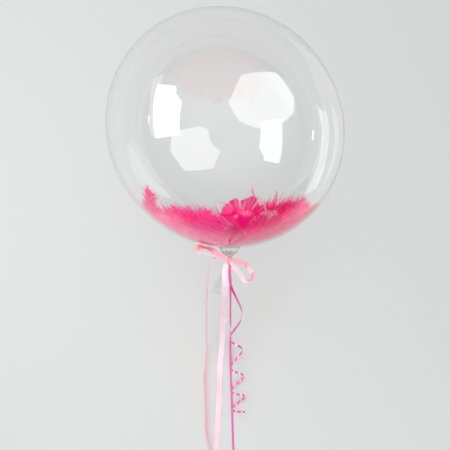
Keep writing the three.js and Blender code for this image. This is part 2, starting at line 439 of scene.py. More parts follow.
film = {
    'radius': 280 * mm, 'centre': Vector((0, 0, 277 * mm)), 'wall': 0.45 * mm,
    'long': 1.025, 'short': 0.972, 'stretchAngle': math.radians(-50), 'neckAngle': math.radians(2.1),
    'around': 192, 'along': 100, 'joinAngle': math.radians(6.4),
    'pleats': 13, 'pleatDepth': 0.06, 'pleatReach': 26 * mm, 'neckEdge': 22 * mm, 'ripple': 0.35 * mm,
    'neckEnd': 326, 'innerEnd': 303.5,
    'softMiddle': 298 * mm, 'softReach': 9 * mm, 'softShare': 0.6,
}
neckLine = Vector((math.sin(film['neckAngle']), -math.cos(film['neckAngle']), 0))
neckRight = Vector((math.cos(film['neckAngle']), math.sin(film['neckAngle']), 0))
upwards = Vector((0, 0, 1))

# From the ball to the tie: distance from the neck's line, and along it from the ball's centre.
gather = [
    [28.4, 279.7], [25.5, 280.4], [23.4, 281.6], [22.2, 283.2], [21.2, 285.4], [19.8, 287.8], [17.8, 290.4],
    [15.2, 293], [12.2, 295.4], [9, 297.6], [6.4, 299.8], [4.8, 302], [4.2, 304.6], [4.2, 309], [4.2, 318],
    [4.2, film['neckEnd']],
]


# Straight out from the neck's line: 0 is right, a quarter turn is up.
def spoke(angle):
    return neckRight * math.cos(angle) + upwards * math.sin(angle)


# The ball's out-of-round shape, from a direction or any point of a round one.
def stretched(point, long=film['long'], short=film['short']):
    c, s = math.cos(film['stretchAngle']), math.sin(film['stretchAngle'])
    longPart = (point.x * c + point.y * s) * long
    shortPart = (point.y * c - point.x * s) * short
    return Vector((longPart * c - shortPart * s, longPart * s + shortPart * c, point.z))


# A place in the ball: angle from the neck's line, angle round it, share of the radius.
def ballPlace(fromNeck, aroundNeck, share=1.0):
    direction = neckLine * math.cos(fromNeck) + spoke(aroundNeck) * math.sin(fromNeck)
    return film['centre'] + stretched(direction) * film['radius'] * share


def pleat(angle):
    n = film['pleats']
    return math.cos(n * angle) + 0.6 * math.cos((2 * n - 3) * angle + 1) + 0.4 * math.cos(5 * angle + 2)


# Rows of points from the far pole to the tie's end, on the outer skin or a wall's thickness inside it.
def filmRows(wall):
    rows = []
    shrink = 1 - wall / film['radius']
    angles = [2 * math.pi * i / film['around'] for i in range(film['around'])]
    for j in range(film['along'] + 1):
        fromNeck = math.pi + (film['joinAngle'] - math.pi) * j / film['along']
        away = film['radius'] * math.sin(fromNeck) - film['neckEdge']
        row = []
        for angle in angles:
            point = ballPlace(fromNeck, angle, shrink)
            if fromNeck < math.pi / 2:
                ripple = film['ripple'] * math.exp(-max(away, 0) / film['pleatReach']) * pleat(angle)
                point += (film['centre'] - point).normalized() * ripple
            point.z = max(point.z, wall)
            row.append(point)
        rows.append(row[:1] if j == 0 else row)
    for radius, distance in gather:
        if wall and distance > film['innerEnd']:
            break
        depth = film['pleatDepth'] * smooth((30 - radius) / 8)
        middle = film['centre'] + neckLine * distance * mm
        reaches = [(radius * mm - wall) * (1 + depth * pleat(angle)) for angle in angles]
        rows.append([middle + spoke(angle) * reach for angle, reach in zip(angles, reaches)])
    end = film['innerEnd'] if wall else film['neckEnd']
    rows.append([film['centre'] + neckLine * end * mm])
    return rows


# Joins rows of points with faces. A row may be one point.
def stitchRows(rows, inside, vertices, faces):
    around = max(len(row) for row in rows)
    starts = []
    for row in rows:
        starts.append(len(vertices))
        vertices.extend(row)
    for a, b, first, second in zip(starts, starts[1:], rows, rows[1:]):
        for i in range(around):
            k = (i + 1) % around
            if len(first) == 1:
                face = (a, b + k, b + i)
            elif len(second) == 1:
                face = (a + i, a + k, b)
            else:
                face = (a + i, a + k, b + k, b + i)
            faces.append(tuple(reversed(face)) if inside else face)


def makeClearFilm():
    material = newMaterial('clear_film', **{
        'Base Color': (0.965, 0.97, 0.972, 1), 'Roughness': 0.0, 'IOR': 1.53, 'Transmission Weight': 1.0})
    tree = material.node_tree
    shader = tree.nodes['Principled BSDF']
    facing = addNode(tree, 'ShaderNodeLayerWeight', {'Blend': 0.32}).outputs['Facing']
    # painted shade: the film's tint greys towards its rim, for a darker rim
    rimShadeTint = mixColours(tree, facing, (1.0, 1.0, 1.0, 1), (0.935, 0.93, 0.935, 1))
    tree.links.new(rimShadeTint, shader.inputs['Base Color'])
    paths = addNode(tree, 'ShaderNodeLightPath')
    clear = addNode(tree, 'ShaderNodeBsdfTransparent', {'Color': (0.997, 0.998, 0.998, 1)}).outputs[0]
    # the very edge of the ball fades, and the thin pleats of the neck bend little light
    grazing = spreadOut(tree, facing, 0.84, 0.97, 0.0, 0.75)
    away = addNode(tree, 'ShaderNodeVectorMath', {0: placeOn(tree), 1: film['centre']}, operation='DISTANCE')
    inNeck = maths(tree, 'COMPARE', away.outputs['Value'], film['softMiddle'], film['softReach'])
    softShare = maths(tree, 'MULTIPLY_ADD', inNeck, film['softShare'], grazing, clamp=True)
    surface = mixShaders(tree, softShare, shader.outputs[0], clear)
    for ray in ('Is Shadow Ray', 'Is Diffuse Ray'):
        surface = mixShaders(tree, paths.outputs[ray], surface, clear)
    makeSurface(tree, surface)
    return material


clearFilm = makeClearFilm()

filmTail = {'width': 26 * mm, 'thickness': 0.5 * mm, 'columns': 12, 'steps': 40, 'rucks': (2.2, 0.7)}
filmTailRoute = [
    [11.7, -319.8, 277, 0, 0.3], [6, -333, 274, 8, 0.45], [0, -347, 264, -6, 0.72],
    [-7, -361, 250, 4, 0.92], [-14, -375, 232, -5, 1], [-21, -389, 212, 3, 1],
]


def joinInto(main, other):
    with bpy.context.temp_override(active_object=main, selected_editable_objects=[main, other]):
        bpy.ops.object.join()


filmVertices, filmFaces = [], []
stitchRows(filmRows(0), False, filmVertices, filmFaces)
stitchRows(filmRows(film['wall']), True, filmVertices, filmFaces)
balloon = newObject('balloon_film', filmVertices, filmFaces, [clearFilm])
tail = makeBand('film_tail', followRoute(filmTailRoute, filmTail['steps']), filmTail['width'],
                filmTail['thickness'], [clearFilm, clearFilm], filmTail['columns'])
broad, fine = filmTail['rucks']
for vertex in tail.data.vertices:
    ruck = noise.noise(vertex.co * 90) * broad + noise.noise(vertex.co * 260) * fine
    vertex.co.z += ruck * mm
joinInto(balloon, tail)
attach(balloon, 'root')
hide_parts('film_balloon')
print('film made')

leftLoopRoute = [
    [6, -307, 284, 0, 0.5], [-2, -302, 286, 0, 0.7], [-13, -297, 291, 10, 0.9], [-25, -288.5, 297, 15, 1],
    [-36, -283, 302, 55, 1], [-46, -280, 306, 68, 1], [-57, -277.5, 309, 50, 1],
    [-66, -281, 304, 15, 0.95], [-64, -289, 292, 30, 0.95], [-51, -293, 284, 55, 0.9],
    [-37, -297, 279, 65, 0.9], [-24, -300, 277, 65, 0.9], [-11, -304, 277, 65, 0.8],
    [4.4, -307.5, 278, 65, 0.5],
]

rightLoopRoute = [
    [12, -308, 285, 0, 0.5], [20, -311, 291, 20, 0.7], [32, -312, 306, 35, 0.9],
    [46.5, -317, 325, 35, 0.95], [55, -326.5, 344, 30, 0.95], [61, -336, 357, 35, 0.9],
    [62, -345, 361, 45, 0.9], [57, -353, 356, 90, 0.9], [46, -353.5, 345, 150, 0.95],
    [36, -342, 328, 180, 1], [26, -330.5, 309, 180, 0.95], [16, -317.5, 292, 180, 0.65],
    [13, -311, 285.5, 180, 0.5],
]

bowKnot = {'place': 309 * mm, 'length': 12 * mm, 'radius': 7.9 * mm, 'folds': 9, 'foldDepth': 0.06,
           'around': 72, 'rows': 22}


# The wound knot: satin drawn round the neck, with slanting folds.
def makeKnot():
    centre = film['centre'] + neckLine * bowKnot['place'] + upwards * mm
    around, rings = bowKnot['around'], bowKnot['rows']
    rows = []
    for j in range(rings + 1):
        share = j / rings * 2 - 1
        swell = math.sqrt(max(1 - abs(share) ** 2.6, 0))
        row = []
        for i in range(around):
            angle = 2 * math.pi * i / around
            fold = math.sin(bowKnot['folds'] * (angle / 2 + share * 0.9)) * bowKnot['foldDepth']
            reach = bowKnot['radius'] * (0.6 + 0.4 * swell) * (1 + fold * swell)
            row.append(centre + neckLine * share * bowKnot['length'] / 2 + spoke(angle) * reach)
        rows.append(row)
    vertices, faces = [], []
    stitchRows(rows, False, vertices, faces)
    faces += [tuple(reversed(range(around))), tuple(range(rings * around, (rings + 1) * around))]
    knot = newObject('bow_knot', vertices, faces, [satinFace, satinBack])
    # painted shade: the knot takes the satin's shaded tone all over, a little more or less from point to
    # point
    storeValues(knot.data, 'shade', [0.95 + 0.35 * math.sin(0.9 * i) for i in range(len(vertices))])
    return knot


bow = makeKnot()
# Painted sheen (0) and painted shade (1) along each bow loop.
leftLoopSheenAndShade = [(0, 0.6), (0.1, 0.7), (0.25, 0.75), (0.4, 0.95), (0.5, 0.95), (0.58, 0.5), (0.64, 0.0),
                 (1, 0.05)]
rightLoopSheenAndShade = [(0, 0.9), (0.14, 0.85), (0.27, 0.8), (0.33, 0.1), (0.41, 0.0), (0.44, 0.85), (0.55, 0.95),
                  (0.61, 0.5), (0.68, 0.0), (0.9, 0.1), (1, 0.3)]
for name, route, shades in (('bow_left', leftLoopRoute, leftLoopSheenAndShade),
                            ('bow_right', rightLoopRoute, rightLoopSheenAndShade)):
    joinInto(bow, satinBand(name, followRoute(route, satin['loopSteps']), shades))
bow.name = 'satin_bow_tied'
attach(bow, 'root')
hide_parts('satin_bow')

wraps = {
    'start': 316.6 * mm, 'end': 320.4 * mm, 'turns': 3, 'radius': 5.0 * mm, 'steps': 120,
    'startAngle': math.radians(20), 'crossings': 3, 'widthShare': 0.5,
}
wrapStations = []
for i in range(wraps['steps'] + 1):
    share = i / wraps['steps']
    angle = wraps['startAngle'] + share * wraps['turns'] * 2 * math.pi
    side, forward = spoke(angle), spoke(angle + math.pi / 2)
    crossing = 0.5 - 0.5 * math.cos(share * wraps['crossings'] * math.pi)
    place = wraps['start'] + (wraps['end'] - wraps['start']) * crossing
    radius = wraps['radius'] + curling['thickness'] * share * wraps['turns']
    point = film['centre'] + neckLine * place + side * radius
    across = side.cross(forward).normalized()
    wrapStations.append((point, across, forward.cross(across), wraps['widthShare']))
tie = curlingBand('string_wraps', wrapStations)
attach(tie, 'root')
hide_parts('string_knot')
print('bow and wraps made')

feathers = {
    'barbs': 600, 'barbLength': 40 * mm, 'barbWidth': 0.9 * mm, 'quillRadius': 0.45 * mm, 'waviness': 6 * mm,
    'steps': 24, 'keepInside': 0.993, 'lowest': 1.4 * mm, 'seed': 11,
    'selfShade': 70 * mm, 'neckShade': (-0.265, -0.205, 0.86, 1.0),
}


# Barbs on a quill, fanned round the side that looks into the ball, and the quill itself.
def makeFeatherTree():
    tree = bpy.data.node_groups.new('featherBarbs', 'GeometryNodeTree')
    makeSockets(tree, (
        ('Geometry', 'Geometry', None), ('Barbs', 'Int', feathers['barbs']),
        ('Barb Length', 'Float', feathers['barbLength']), ('Barb Width', 'Float', feathers['barbWidth']),
        ('Fluff', 'Float', 0.5), ('Waviness', 'Float', feathers['waviness']),
        ('Quill Radius', 'Float', feathers['quillRadius']), ('Seed', 'Int', 1),
        ('Barb Material', 'Material', None), ('Quill Material', 'Material', None)),
        (('Geometry', 'Geometry'),))
    given = tree.nodes.new('NodeGroupInput').outputs
    made = tree.nodes.new('NodeGroupOutput')

    def node(kind, inputs=None, **settings):
        return addNode(tree, kind, inputs, **settings).outputs[0]

    def times(a, b):
        return maths(tree, 'MULTIPLY', a, b)

    def plus(a, b):
        return maths(tree, 'ADD', a, b)

    def minus(a, b):
        return maths(tree, 'SUBTRACT', a, b)

    def power(a, b):
        return maths(tree, 'POWER', a, b)

    def vectors(operation, a, b=(0, 0, 0)):
        return node('ShaderNodeVectorMath', {0: a, 1: b}, operation=operation)

    def scaled(vector, size):
        return node('ShaderNodeVectorMath', {0: vector, 'Scale': size}, operation='SCALE')

    def stored(name, kind='FLOAT'):
        return node('GeometryNodeInputNamedAttribute', {'Name': name}, data_type=kind)

    def storing(geometry, name, value, domain):
        return node('GeometryNodeStoreNamedAttribute', {
            'Geometry': geometry, 'Name': name, 'Value': value}, data_type='FLOAT', domain=domain)

    def chance(low, high, offset):
        return addNode(tree, 'FunctionNodeRandomValue', {
            2: low, 3: high, 'Seed': plus(given['Seed'], offset)}, data_type='FLOAT').outputs[1]

    def tube(line, sides, size):
        profile = node('GeometryNodeCurvePrimitiveCircle', {'Resolution': sides, 'Radius': 1.0})
        return node('GeometryNodeCurveToMesh', {
            'Curve': line, 'Profile Curve': profile, 'Fill Caps': True, 'Scale': size})

    def dressed(geometry, material):
        return node('GeometryNodeSetMaterial', {'Geometry': geometry, 'Material': material})

    # one barb: a bent tapering strand along +X
    strand = node('GeometryNodeCurveQuadraticBezier', {
        'Resolution': 5, 'Start': (0, 0, 0), 'Middle': (0.5, 0.04, 0.03), 'End': (0.96, 0.22, -0.04)})
    along = node('GeometryNodeSplineParameter')
    taper = minus(1.0, times(power(along, 1.6), 0.86))
    thick = maths(tree, 'DIVIDE', times(given['Barb Width'], 0.577), given['Barb Length'])
    barb = tube(storing(strand, 'barbShare', along, 'POINT'), 3, times(taper, thick))

    # where the barbs grow and which way they aim: to both sides, inwards, and forwards towards the tip
    line = node('GeometryNodeMeshToCurve', {'Mesh': given['Geometry']})
    spread = node('GeometryNodeResampleCurve', {'Curve': line, 'Count': given['Barbs']})
    roots = node('GeometryNodeCurveToPoints', {'Curve': spread}, mode='EVALUATED')
    share = stored('share')
    forward = stored('forward', 'FLOAT_VECTOR')
    inward = stored('inward', 'FLOAT_VECTOR')
    across = vectors('NORMALIZE', vectors('CROSS_PRODUCT', forward, inward))
    fan = chance(-1.0, 1.0, 3)
    lift = times(minus(1.0, power(maths(tree, 'ABSOLUTE', fan), 0.8)), given['Fluff'])
    sweep = plus(plus(0.3, times(power(share, 3.0), 1.8)), chance(-0.25, 0.25, 4))
    sideways = vectors('ADD', scaled(across, maths(tree, 'SIGN', fan)), scaled(inward, times(lift, 2.2)))
    aim = vectors('ADD', sideways, scaled(forward, sweep))
    turned = node('FunctionNodeAlignRotationToVector', {'Vector': aim}, axis='X')
    settled = node('FunctionNodeAlignRotationToVector', {
        'Rotation': turned, 'Vector': forward}, axis='Y', pivot_axis='X')

    # shorter at both ends of the quill, and uneven
    ends = power(maths(tree, 'SINE', times(plus(0.06, times(share, 0.90)), math.pi)), 0.45)
    reach = plus(0.45, times(power(chance(0.0, 1.0, 5), 2.5), 0.85))
    placed = node('GeometryNodeInstanceOnPoints', {
        'Points': roots, 'Instance': barb, 'Rotation': settled,
        'Scale': times(times(ends, given['Barb Length']), reach)})
    streaks = node('ShaderNodeTexNoise', {
        'W': plus(times(share, 60.0), times(given['Seed'], 3.7)), 'Scale': 1.0, 'Detail': 2.0},
        noise_dimensions='1D')
    tone = plus(times(streaks, 0.7), chance(0.0, 0.3, 8))
    real = node('GeometryNodeRealizeInstances', {'Geometry': storing(placed, 'barbTone', tone, 'INSTANCE')})

    # the down drifts together in tufts, most at its tips
    apart = node('ShaderNodeCombineXYZ', {0: given['Seed']})
    place = vectors('ADD', node('GeometryNodeInputPosition'), apart)
    tufts = {'Vector': place, 'Scale': 42.0, 'Detail': 2.0}
    drift = addNode(tree, 'ShaderNodeTexNoise', tufts).outputs['Color']
    ruffle = times(times(power(stored('barbShare'), 1.5), 4.0), given['Waviness'])
    ruffled = node('GeometryNodeSetPosition', {
        'Geometry': real, 'Offset': scaled(vectors('SUBTRACT', drift, (0.5, 0.5, 0.5)), ruffle)})

    alongQuill = node('GeometryNodeSplineParameter')
    quill = tube(line, 6, times(minus(1.0, times(alongQuill, 0.85)), given['Quill Radius']))
    joined = tree.nodes.new('GeometryNodeJoinGeometry')
    tree.links.new(dressed(ruffled, given['Barb Material']), joined.inputs[0])
    tree.links.new(dressed(quill, given['Quill Material']), joined.inputs[0])
    tree.links.new(joined.outputs[0], made.inputs['Geometry'])
    return tree


featherTree = makeFeatherTree()


# Down and vane are see-through to light, and glow a little in their own colour: a painted glow that stands
# in for light passing through them.
def softSurface(tree, colour, throughShare):
    shader = tree.nodes['Principled BSDF']
    tree.links.new(colour, shader.inputs['Base Color'])
    tree.links.new(colour, shader.inputs['Emission Color'])
    through = addNode(tree, 'ShaderNodeBsdfTranslucent', {'Color': colour})
    return mixShaders(tree, throughShare, shader.outputs[0], through.outputs[0])


# Down changes tone from barb to barb and tuft to tuft, and pales towards the tips of its barbs.
def featherMaterial(name, tone, otherTone, tipTone, tipShare):
    material = newMaterial(name, **{
        'Roughness': 0.85, 'Sheen Weight': 0.05, 'Sheen Roughness': 0.5, 'Specular IOR Level': 0.1,
        'Emission Strength': 0.26})
    tree = material.node_tree
    place = placeOn(tree)
    patches = addNode(tree, 'ShaderNodeTexNoise', {'Vector': place, 'Scale': 24.0, 'Detail': 3.0})
    barbTone = attributeOf(tree, 'barbTone')
    both = maths(tree, 'MULTIPLY_ADD', patches.outputs['Fac'], 0.5, barbTone)
    colour = mixColours(tree, spreadOut(tree, both, 0.6, 0.92), tone, otherTone)
    tips = spreadOut(tree, attributeOf(tree, 'barbShare'), 0.5, 1.0, 0.0, tipShare)
    tipped = mixColours(tree, tips, colour, tipTone)
    # painted shade, deepening towards the neck, times a tone that changes barb by barb
    deep = spreadOut(tree, coordinateOf(tree, place, 'Y'), *feathers['neckShade'])
    uneven = spreadOut(tree, barbTone, 0.32, 0.6, 0.76, 1.06)
    shade = maths(tree, 'MULTIPLY', deep, uneven)
    final = addNode(tree, 'ShaderNodeVectorMath', {0: tipped, 'Scale': shade}, operation='SCALE').outputs[0]
    surface = softSurface(tree, final, 0.35)
    # the down lights and shades itself, and hardly the floor far below it
    paths = addNode(tree, 'ShaderNodeLightPath').outputs
    far = maths(tree, 'GREATER_THAN', paths['Ray Length'], feathers['selfShade'])
    thinned = maths(tree, 'MULTIPLY_ADD', paths['Is Shadow Ray'], 0.85, paths['Is Diffuse Ray'])
    nothing = addNode(tree, 'ShaderNodeBsdfTransparent').outputs[0]
    makeSurface(tree, mixShaders(tree, maths(tree, 'MULTIPLY', thinned, far), surface, nothing))
    return material


hotDown = featherMaterial(
    'down_hot_pink', (0.96, 0.02, 0.28, 1), (1.0, 0.12, 0.52, 1), (1.0, 0.36, 0.68, 1), 0.5)
roseDown = featherMaterial(
    'down_rose', (0.82, 0.0, 0.18, 1), (1.0, 0.04, 0.38, 1), (1.0, 0.26, 0.54, 1), 0.5)
deepDown = featherMaterial(
    'down_deep_pink', (0.84, 0.0, 0.24, 1), (0.96, 0.02, 0.42, 1), (1.0, 0.14, 0.52, 1), 0.3)
paleQuill = newMaterial('quill_pale', **{'Base Color': (0.95, 0.55, 0.62, 1), 'Roughness': 0.4})
pinkQuill = newMaterial('quill_pink', **{'Base Color': (0.80, 0.07, 0.24, 1), 'Roughness': 0.45})


# Sets a modifier's inputs by their sockets' identifiers.
def setInputs(modifier, tree, values):
    for item in tree.interface.items_tree:
        if item.item_type == 'SOCKET' and item.in_out == 'INPUT' and item.name in values:
            modifier[item.identifier] = values[item.name]


# Keeps a point a little inside the film, each at its own small distance.
def keepInside(point, limit):
    away = point - film['centre']
    reach = stretched(away, 1 / film['long'], 1 / film['short']).length / film['radius']
    if reach > limit:
        away *= (limit + 0.1 * (1 - limit) * math.sin(reach * 400)) / reach
    point = film['centre'] + away
    point.z = max(point.z, feathers['lowest'])
    return point


def bakedMesh(piece):
    evaluated = piece.evaluated_get(bpy.context.evaluated_depsgraph_get())
    return bpy.data.meshes.new_from_object(evaluated)


# A feather along points given as [degrees from the neck's line, degrees round it, share of the radius].
def makeFeather(name, rows, down, quill, values):
    guides = [ballPlace(math.radians(row[0]), math.radians(row[1]), row[2]) for row in rows]
    count = feathers['steps']
    line = [curvePoint(guides, (len(guides) - 1) * i / count) for i in range(count + 1)]
    mesh = bpy.data.meshes.new(name + '_line')
    mesh.from_pydata([tuple(point) for point, forward in line], [(i, i + 1) for i in range(count)], [])
    inwards = [(film['centre'] - point).normalized() for point, forward in line]
    storeValues(mesh, 'share', [i / count for i in range(count + 1)])
    for label, rowsOfVectors in (('forward', [forward for point, forward in line]), ('inward', inwards)):
        flat = [value for vector in rowsOfVectors for value in vector]
        mesh.attributes.new(label, 'FLOAT_VECTOR', 'POINT').data.foreach_set('vector', flat)
    feather = bpy.data.objects.new(name, mesh)
    scene.collection.objects.link(feather)
    modifier = feather.modifiers.new('barbs', 'NODES')
    modifier.node_group = featherTree
    setInputs(modifier, featherTree, {**values, 'Barb Material': down, 'Quill Material': quill})
    feather.data = bakedMesh(feather)
    feather.modifiers.remove(modifier)
    for vertex in feather.data.vertices:
        vertex.co = keepInside(vertex.co, feathers['keepInside'])
    feather.data.polygons.foreach_set('use_smooth', [True] * len(feather.data.polygons))
    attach(feather, 'root')


# Feathers in plain sight: name, down, barb length, fluff, and points as above.
shownFeathers = [
    ('left_tip', deepDown, 24, 0.8,
     [[42, 163, 0.97], [48, 155, 0.975], [54, 147, 0.975], [57.5, 143, 0.975]]),
    ('left_tip_low', deepDown, 30, 0.6,
     [[34, 178, 0.98], [41, 170, 0.98], [46, 162, 0.98], [49, 158, 0.98]]),
    ('left_long', hotDown, 34, 0.5, [[35, 94, 0.96], [35.5, 108, 0.965], [38, 122, 0.965], [43, 134, 0.97]]),
    ('left_under', hotDown, 42, 0.3,
     [[28, 100, 0.975], [32, 125, 0.98], [36, 150, 0.985], [41, 172, 0.985]]),
    ('left_behind', hotDown, 40, 0.5, [[38, 262, 0.94], [39, 238, 0.95], [41, 212, 0.955], [44, 190, 0.96]]),
    ('left_upper', hotDown, 34, 0.5, [[14, 160, 0.90], [26, 150, 0.91], [36, 140, 0.93], [43, 132, 0.94]]),
    ('left_inner', hotDown, 34, 0.5, [[12, 120, 0.89], [24, 116, 0.90], [34, 112, 0.91], [40, 108, 0.92]]),
    ('centre_dome', hotDown, 26, 0.6, [[24, 72, 0.93], [34, 80, 0.94], [43, 80, 0.94], [50, 74, 0.945]]),
    ('right_long', roseDown, 34, 0.6, [[41, 76, 0.95], [44, 60, 0.955], [45, 44, 0.96], [45, 28, 0.965]]),
    ('right_under', roseDown, 42, 0.3, [[30, 70, 0.975], [35, 48, 0.98], [39, 26, 0.985], [43, 4, 0.985]]),
    ('right_behind', roseDown, 40, 0.6,
     [[42, 285, 0.94], [44, 305, 0.95], [45, 325, 0.955], [45, 345, 0.96]]),
    ('right_upper', roseDown, 34, 0.7, [[20, 46, 0.92], [32, 42, 0.93], [42, 40, 0.94], [49, 34, 0.95]]),
    ('right_inner', roseDown, 36, 0.6, [[14, 20, 0.90], [26, 18, 0.91], [36, 16, 0.92], [45, 14, 0.93]]),
    ('right_tip', roseDown, 32, 0.4, [[28, 10, 0.98], [37, 6, 0.98], [46, 4, 0.98]]),
]
shown = {'waviness': 4 * mm, 'barbWidth': 1.0 * mm, 'barbs': 680, 'tipBarbs': 950, 'seedStep': 7}
for i, (name, down, length, fluff, rows) in enumerate(shownFeathers):
    makeFeather('feather_' + name, rows, down, paleQuill if 'upper' in name else pinkQuill, {
        'Barb Length': length * mm, 'Seed': shown['seedStep'] * i + 1, 'Fluff': fluff,
        'Barbs': shown['tipBarbs'] if 'left_tip' in name else shown['barbs'],
        'Waviness': shown['waviness'], 'Barb Width': shown['barbWidth']})
print('shown feathers made')

vanes = {'across': 110, 'along': 34, 'wall': 0.4 * mm, 'crown': 0.012, 'groove': 0.0008, 'keepInside': 0.994}


# A leaf of vane, cupped like a petal. It fans out from its foot to its rim, both given like a feather's
# points, with fine barb lines and painted highlights: [share across, share outwards, width across, width
# outwards, strength].
def makeVane(name, foot, rim, flare, ragged, lines, paintedHighlights, material):
    vertices, faces, acrossValues, highlightValues = [], [], [], []
    guides = [Vector(row) for row in rim]
    across, along = vanes['across'], vanes['along']
    for j in range(along + 1):
        for i in range(across + 1):
            u = i / across
            edge, forward = curvePoint(guides, (len(guides) - 1) * u)
            tatters = 0.5 * noise.noise(Vector((u * 11, lines, 0))) + noise.noise(Vector((u * 46, lines, 3)))
            v = j / along * (1 - ragged * (0.4 + tatters))
            fromNeck = foot[0] + (edge.x - foot[0]) * v
            bend = flare[0] + (flare[1] - flare[0]) * u
            aroundNeck = foot[1] + (edge.y - foot[1]) * v ** bend
            crown = vanes['crown'] * math.sin(math.pi * u) * v
            groove = vanes['groove'] * math.sin(u * lines * math.pi + 2.5 * v) * min(v * 3, 1)
            share = min(foot[2] + (edge.z - foot[2]) * v + crown + groove, vanes['keepInside'])
            vertices.append(ballPlace(math.radians(fromNeck), math.radians(aroundNeck), share))
            acrossValues.append(u)
            highlightValues.append(max(
                strength * math.exp(-((u - a) / wide) ** 2 - ((v - b) / tall) ** 2)
                for a, b, wide, tall, strength in paintedHighlights))
    for j in range(along):
        for i in range(across):
            a = j * (across + 1) + i
            faces.append((a, a + 1, a + across + 2, a + across + 1))
    vane = newObject(name, vertices, faces, [material])
    storeValues(vane.data, 'across', acrossValues)
    storeValues(vane.data, 'pale', highlightValues)
    wall = vane.modifiers.new('wall', 'SOLIDIFY')
    wall.thickness = vanes['wall']
    wall.offset = 0
    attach(vane, 'root')


# A vane's tone changes in fine lines across it, and it takes painted highlights where the piece says.
def vaneMaterial(name, tone, lineTone, highlightTone, shine):
    material = newMaterial(name, **{
        'Roughness': 0.45, 'Specular IOR Level': shine, 'Emission Strength': 0.25})
    tree = material.node_tree
    fine = maths(tree, 'MULTIPLY', attributeOf(tree, 'across'), 3.0)
    barbs = {'Vector': placeOn(tree), 'W': fine, 'Scale': 14.0, 'Detail': 3.0}
    lines = addNode(tree, 'ShaderNodeTexNoise', barbs, noise_dimensions='4D').outputs['Fac']
    colour = mixColours(tree, spreadOut(tree, lines, 0.45, 0.62, 0.0, 0.9), tone, lineTone)
    broken = spreadOut(tree, lines, 0.38, 0.55, 0.25, 1.0)
    highlightShare = maths(tree, 'MULTIPLY', attributeOf(tree, 'pale'), broken, clamp=True)
    makeSurface(tree, softSurface(tree, mixColours(tree, highlightShare, colour, highlightTone), 0.4))
    return material


magentaVane = vaneMaterial(
    'vane_magenta', (0.92, 0.0, 0.26, 1), (0.76, 0.0, 0.18, 1), (1.0, 0.36, 0.62, 1), 0.05)
cupRim = [(43, 97.5, 0.985), (43.2, 93, 0.985), (44, 89.5, 0.985), (47, 86, 0.98), (46, 82.5, 0.98),
          (46, 78, 0.98), (44.6, 74, 0.985), (43.3, 70.5, 0.985)]
# painted highlights on the cup
cupHighlights = [(0.62, 0.86, 0.17, 0.12, 1.2), (0.30, 0.80, 0.08, 0.06, 0.8), (0.06, 0.55, 0.010, 0.4, 0.6),
            (0.13, 0.60, 0.012, 0.35, 0.6), (0.21, 0.62, 0.012, 0.3, 0.5)]
makeVane('feather_cup', (30, 78, 0.992), cupRim, (0.75, 1.9), 0.03, 9, cupHighlights, magentaVane)

paleVane = vaneMaterial(
    'vane_pale', (0.74, 0.02, 0.26, 1), (1.0, 0.26, 0.48, 1), (1.0, 0.70, 0.82, 1), 0.3)
domeRim = [(42, 97.5, 0.965), (47, 94.5, 0.965), (51, 89.5, 0.965), (52.5, 86.5, 0.965), (51, 84, 0.965),
           (53, 79, 0.965), (53, 75.5, 0.965), (48.5, 71.5, 0.965), (43, 67, 0.965)]
# painted highlights on the dome
domeHighlights = [(0.50, 0.8, 0.03, 0.3, 0.9), (0.54, 0.6, 0.04, 0.2, 1.0), (0.84, 0.8, 0.02, 0.3, 0.9),
             (0.15, 0.8, 0.05, 0.2, 0.4)]
makeVane('feather_dome', (34, 82, 0.965), domeRim, (0.9, 0.9), 0.07, 12, domeHighlights, paleVane)

# bare quills that stand out of the down
bareQuills = [
    ('feather_quill_pale_right', [[44.7, 65.7, 0.988], [50, 70, 0.988], [54, 75.5, 0.988]], paleQuill, 1.0),
    ('feather_quill_pale_left', [[50.5, 97.6, 0.98], [49.6, 94.5, 0.98], [48.2, 90, 0.98]], paleQuill, 0.9),
    ('feather_quill_centre', [[52, 75, 0.98], [55, 76.5, 0.98], [57.6, 78, 0.98]], pinkQuill, 0.8),
    ('feather_quill_right', [[49, 60, 0.975], [53, 61.5, 0.975], [56.6, 63, 0.975]], pinkQuill, 0.8),
    ('feather_quill_left', [[55, 146, 0.98], [57.5, 143, 0.98], [60, 140.5, 0.98]], pinkQuill, 0.8),
]
for name, rows, quill, thickness in bareQuills:
    makeFeather(name, rows, hotDown, quill, {
        'Barbs': 60, 'Barb Length': 6 * mm, 'Barb Width': 0.5 * mm, 'Quill Radius': thickness * mm,
        'Waviness': 2 * mm, 'Fluff': 0.4})
print('vanes made')

# The rest cling all round the neck end.
random.seed(feathers['seed'])
nest = {'count': 22, 'from': 3.5, 'to': (41, 48), 'turn': 20, 'scatter': 6, 'height': (0.972, 0.99),
        'barbs': (48, 60), 'fluff': 0.3}
for i in range(nest['count']):
    aroundNeck = 360 * (i + 0.5) / nest['count'] + random.uniform(-nest['scatter'], nest['scatter'])
    last = random.uniform(*nest['to'])
    turn = random.uniform(-nest['turn'], nest['turn'])
    rows = [[nest['from'] + (last - nest['from']) * s, aroundNeck + turn * s,
             random.uniform(*nest['height'])] for s in (0, 0.35, 0.7, 1)]
    down = hotDown if 90 < aroundNeck < 270 else roseDown
    makeFeather(f'feather_nest_{i + 1:02d}', rows, down, pinkQuill, {
        'Barb Length': random.uniform(*nest['barbs']) * mm, 'Seed': 100 + i * 5, 'Fluff': nest['fluff']})
print('nest of feathers made')


def makeFloor():
    material = newMaterial('floor_paper', **{
        'Base Color': (0.80, 0.805, 0.795, 1), 'Roughness': 0.9, 'Specular IOR Level': 0.1})
    corners = [(-9, -9, 0), (9, -9, 0), (9, 9, 0), (-9, 9, 0)]
    newObject('floor', corners, [(0, 1, 2, 3)], [material])


